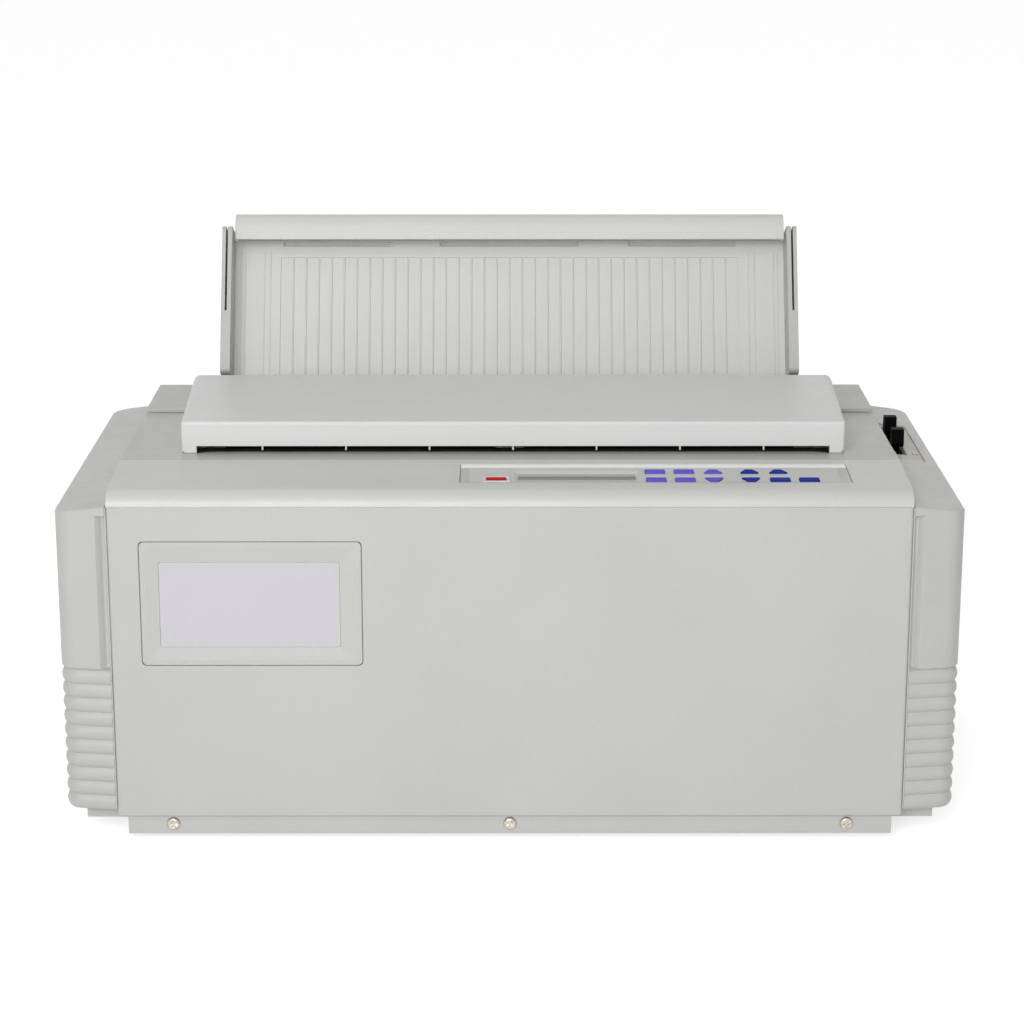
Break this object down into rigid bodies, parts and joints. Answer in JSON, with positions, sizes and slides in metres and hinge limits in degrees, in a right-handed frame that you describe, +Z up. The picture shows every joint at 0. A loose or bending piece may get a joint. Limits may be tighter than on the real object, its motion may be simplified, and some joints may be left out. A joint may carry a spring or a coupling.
{
  "type": "dot matrix printer",
  "caption": "Wide desktop dot matrix printer with ribbed round-cornered side housings, sloping key panel, hinged exit cover and a ribbed rear paper cover leaning back over the tractors.",
  "frame": {"origin": "on the floor under the middle of the object's bounding box", "axes": "+X to the right as seen from the front, +Y towards the back, +Z up; the keys and the name window face -Y"},
  "size_m": [0.665, 0.3506, 0.4194],
  "materials": {
    "cabinet_plastic": "fine moulded grain, warm light grey",
    "deck_plastic": "fine moulded grain, light grey",
    "lid_plastic": "fine moulded grain, pale neutral grey",
    "cover_plastic": "fine moulded grain, light grey",
    "name_insert": "smooth satin sheet, pale lilac grey",
    "operator_sheet": "satin printed sheet, light grey",
    "display_glass": "smooth dark tinted window",
    "lamp_red": "smooth red lens",
    "key_violet": "satin violet cap",
    "key_blue": "satin deep blue cap",
    "lever_black": "satin black moulding",
    "lever_plate": "fine moulded grain, cream",
    "screw_steel": "nickel plated, bright",
    "zinc_plated_steel": "zinc plated sheet",
    "ground_steel": "ground and polished",
    "platen_rubber": "ground black rubber",
    "foot_rubber": "moulded black rubber",
    "belt_rubber": "toothed rubber",
    "gear_acetal": "moulded, off-white",
    "tractor_plastic": "satin dark grey moulding",
    "carriage_alloy": "die cast, bead blasted",
    "ribbon_black": "satin black moulding",
    "motor_black": "black enamel",
    "pulley_alloy": "turned",
    "fan_black": "satin black moulding",
    "inlet_black": "satin black moulding",
    "port_steel": "plated shell",
    "board_green": "solder-masked laminate with dark chips",
    "supply_case": "folded sheet case, satin"
  },
  "bodies": {
    "cabinet": {"front_panel": "cabinet_plastic", "name_bezel": "cabinet_plastic", "left_side_housing": "cabinet_plastic", "right_side_housing": "cabinet_plastic", "base_pan": "cabinet_plastic", "control_band": "deck_plastic", "front_deck": "deck_plastic", "rear_deck": "deck_plastic", "rear_wall": "deck_plastic", "name_insert": "name_insert", "operator_plate": "operator_sheet", "display_window": "display_glass", "status_lamp": "lamp_red", "lever_plate": "lever_plate", "base_screws": "screw_steel", "left_side_frame": "zinc_plated_steel", "right_side_frame": "zinc_plated_steel", "guide_rods": "ground_steel", "rubber_feet": "foot_rubber", "drive_belt": "belt_rubber", "feed_motor": "motor_black", "carriage_motor": "motor_black", "fan_housing": "fan_black", "power_inlet": "inlet_black", "interface_connector": "port_steel", "main_board": "board_green", "power_supply": "supply_case"},
    "exit_cover": {"exit_cover": "lid_plastic"},
    "rear_cover": {"rear_cover": "cover_plastic", "cover_wings": "cover_plastic"},
    "platen": {"platen_roller": "platen_rubber", "platen_shaft": "ground_steel", "platen_gear": "gear_acetal"},
    "feed_pinion": {"feed_pinion": "gear_acetal"},
    "idler_gear": {"idler_gear": "gear_acetal"},
    "tractor_shaft": {"tractor_shaft": "ground_steel"},
    "carriage": {"carriage": "carriage_alloy", "print_head": "carriage_alloy", "ribbon_cartridge": "ribbon_black"},
    "motor_pulley": {"motor_pulley": "pulley_alloy"},
    "idler_pulley": {"idler_pulley": "pulley_alloy"},
    "left_tractor": {"left_tractor": "tractor_plastic"},
    "right_tractor": {"right_tractor": "tractor_plastic"},
    "left_tractor_door": {"left_tractor_door": "tractor_plastic"},
    "right_tractor_door": {"right_tractor_door": "tractor_plastic"},
    "fan_rotor": {"fan_rotor": "fan_black"},
    "power_switch": {"power_switch": "inlet_black"},
    "thickness_lever": {"thickness_lever": "lever_black"},
    "feed_lever": {"feed_lever": "lever_black"},
    "key_1_back": {"key_1_back": "key_violet"},
    "key_1_front": {"key_1_front": "key_violet"},
    "key_2_back": {"key_2_back": "key_violet"},
    "key_2_front": {"key_2_front": "key_violet"},
    "key_3_back": {"key_3_back": "key_violet"},
    "key_3_front": {"key_3_front": "key_violet"},
    "key_4_back": {"key_4_back": "key_blue"},
    "key_4_front": {"key_4_front": "key_blue"},
    "key_5_back": {"key_5_back": "key_blue"},
    "key_5_front": {"key_5_front": "key_blue"},
    "key_6_front": {"key_6_front": "key_blue"}
  },
  "joints": [
    {"name": "exit_cover_hinge", "type": "hinge", "parent": "cabinet", "child": "exit_cover", "pos_m": [0.0025, 0.05671, 0.286], "axis": [-1, 0, 0], "range_deg": [0, 88]},
    {"name": "rear_cover_hinge", "type": "hinge", "parent": "cabinet", "child": "rear_cover", "pos_m": [0, 0.11479, 0.2797], "axis": [1, 0, 0], "range_deg": [-58, 0]},
    {"name": "platen_turn", "type": "hinge", "parent": "cabinet", "child": "platen", "pos_m": [0, 0.03671, 0.243], "axis": [1, 0, 0], "continuous": true},
    {"name": "feed_pinion_turn", "type": "hinge", "parent": "cabinet", "child": "feed_pinion", "pos_m": [0.259, 0.03671, 0.2085], "axis": [1, 0, 0], "continuous": true},
    {"name": "idler_gear_turn", "type": "hinge", "parent": "cabinet", "child": "idler_gear", "pos_m": [0.259, 0.06771, 0.22623], "axis": [1, 0, 0], "continuous": true},
    {"name": "tractor_shaft_turn", "type": "hinge", "parent": "cabinet", "child": "tractor_shaft", "pos_m": [0, 0.10271, 0.222], "axis": [1, 0, 0], "continuous": true},
    {"name": "carriage_slide", "type": "slide", "parent": "cabinet", "child": "carriage", "axis": [1, 0, 0], "range_m": [-0.17, 0.17]},
    {"name": "motor_pulley_turn", "type": "hinge", "parent": "cabinet", "child": "motor_pulley", "pos_m": [-0.222, -0.03529, 0.195], "axis": [0, 0, 1], "continuous": true},
    {"name": "idler_pulley_turn", "type": "hinge", "parent": "cabinet", "child": "idler_pulley", "pos_m": [0.222, -0.03529, 0.195], "axis": [0, 0, 1], "continuous": true},
    {"name": "left_tractor_slide", "type": "slide", "parent": "cabinet", "child": "left_tractor", "axis": [1, 0, 0], "range_m": [-0.03, 0.12]},
    {"name": "right_tractor_slide", "type": "slide", "parent": "cabinet", "child": "right_tractor", "axis": [1, 0, 0], "range_m": [-0.12, 0.03]},
    {"name": "left_tractor_door_hinge", "type": "hinge", "parent": "left_tractor", "child": "left_tractor_door", "pos_m": [-0.19, 0.10271, 0.2421], "axis": [0, -1, 0], "range_deg": [0, 100]},
    {"name": "right_tractor_door_hinge", "type": "hinge", "parent": "right_tractor", "child": "right_tractor_door", "pos_m": [0.19, 0.10271, 0.2421], "axis": [0, 1, 0], "range_deg": [0, 100]},
    {"name": "fan_rotor_turn", "type": "hinge", "parent": "cabinet", "child": "fan_rotor", "pos_m": [-0.06, 0.14421, 0.11], "axis": [0, 1, 0], "continuous": true},
    {"name": "power_switch_rock", "type": "hinge", "parent": "cabinet", "child": "power_switch", "pos_m": [-0.15, 0.15321, 0.071], "axis": [1, 0, 0], "range_deg": [0, 18]},
    {"name": "thickness_lever_swing", "type": "hinge", "parent": "cabinet", "child": "thickness_lever", "pos_m": [0.3066, 0.01471, 0.226], "axis": [1, 0, 0], "range_deg": [-12, 12]},
    {"name": "feed_lever_swing", "type": "hinge", "parent": "cabinet", "child": "feed_lever", "pos_m": [0.3066, 0.05671, 0.226], "axis": [1, 0, 0], "range_deg": [-12, 12]},
    {"name": "key_1_back_press", "type": "slide", "parent": "cabinet", "child": "key_1_back", "axis": [0, -0.0504, 0.9987], "range_m": [-0.0012, 0], "stiffness_N_per_m": 400},
    {"name": "key_1_front_press", "type": "slide", "parent": "cabinet", "child": "key_1_front", "axis": [0, -0.0504, 0.9987], "range_m": [-0.0012, 0], "stiffness_N_per_m": 400},
    {"name": "key_2_back_press", "type": "slide", "parent": "cabinet", "child": "key_2_back", "axis": [0, -0.0504, 0.9987], "range_m": [-0.0012, 0], "stiffness_N_per_m": 400},
    {"name": "key_2_front_press", "type": "slide", "parent": "cabinet", "child": "key_2_front", "axis": [0, -0.0504, 0.9987], "range_m": [-0.0012, 0], "stiffness_N_per_m": 400},
    {"name": "key_3_back_press", "type": "slide", "parent": "cabinet", "child": "key_3_back", "axis": [0, -0.0504, 0.9987], "range_m": [-0.0012, 0], "stiffness_N_per_m": 400},
    {"name": "key_3_front_press", "type": "slide", "parent": "cabinet", "child": "key_3_front", "axis": [0, -0.0504, 0.9987], "range_m": [-0.0012, 0], "stiffness_N_per_m": 400},
    {"name": "key_4_back_press", "type": "slide", "parent": "cabinet", "child": "key_4_back", "axis": [0, -0.0504, 0.9987], "range_m": [-0.0012, 0], "stiffness_N_per_m": 400},
    {"name": "key_4_front_press", "type": "slide", "parent": "cabinet", "child": "key_4_front", "axis": [0, -0.0504, 0.9987], "range_m": [-0.0012, 0], "stiffness_N_per_m": 400},
    {"name": "key_5_back_press", "type": "slide", "parent": "cabinet", "child": "key_5_back", "axis": [0, -0.0504, 0.9987], "range_m": [-0.0012, 0], "stiffness_N_per_m": 400},
    {"name": "key_5_front_press", "type": "slide", "parent": "cabinet", "child": "key_5_front", "axis": [0, -0.0504, 0.9987], "range_m": [-0.0012, 0], "stiffness_N_per_m": 400},
    {"name": "key_6_front_press", "type": "slide", "parent": "cabinet", "child": "key_6_front", "axis": [0, -0.0504, 0.9987], "range_m": [-0.0012, 0], "stiffness_N_per_m": 400}
  ],
  "couplings": [
    {"joint": "feed_pinion_turn", "follows": "platen_turn", "ratio": -2.2857},
    {"joint": "idler_gear_turn", "follows": "platen_turn", "ratio": -2.1333},
    {"joint": "tractor_shaft_turn", "follows": "platen_turn", "ratio": 1},
    {"joint": "motor_pulley_turn", "follows": "carriage_slide", "rad_per_m": 102.04},
    {"joint": "idler_pulley_turn", "follows": "carriage_slide", "rad_per_m": 102.04}
  ]
}
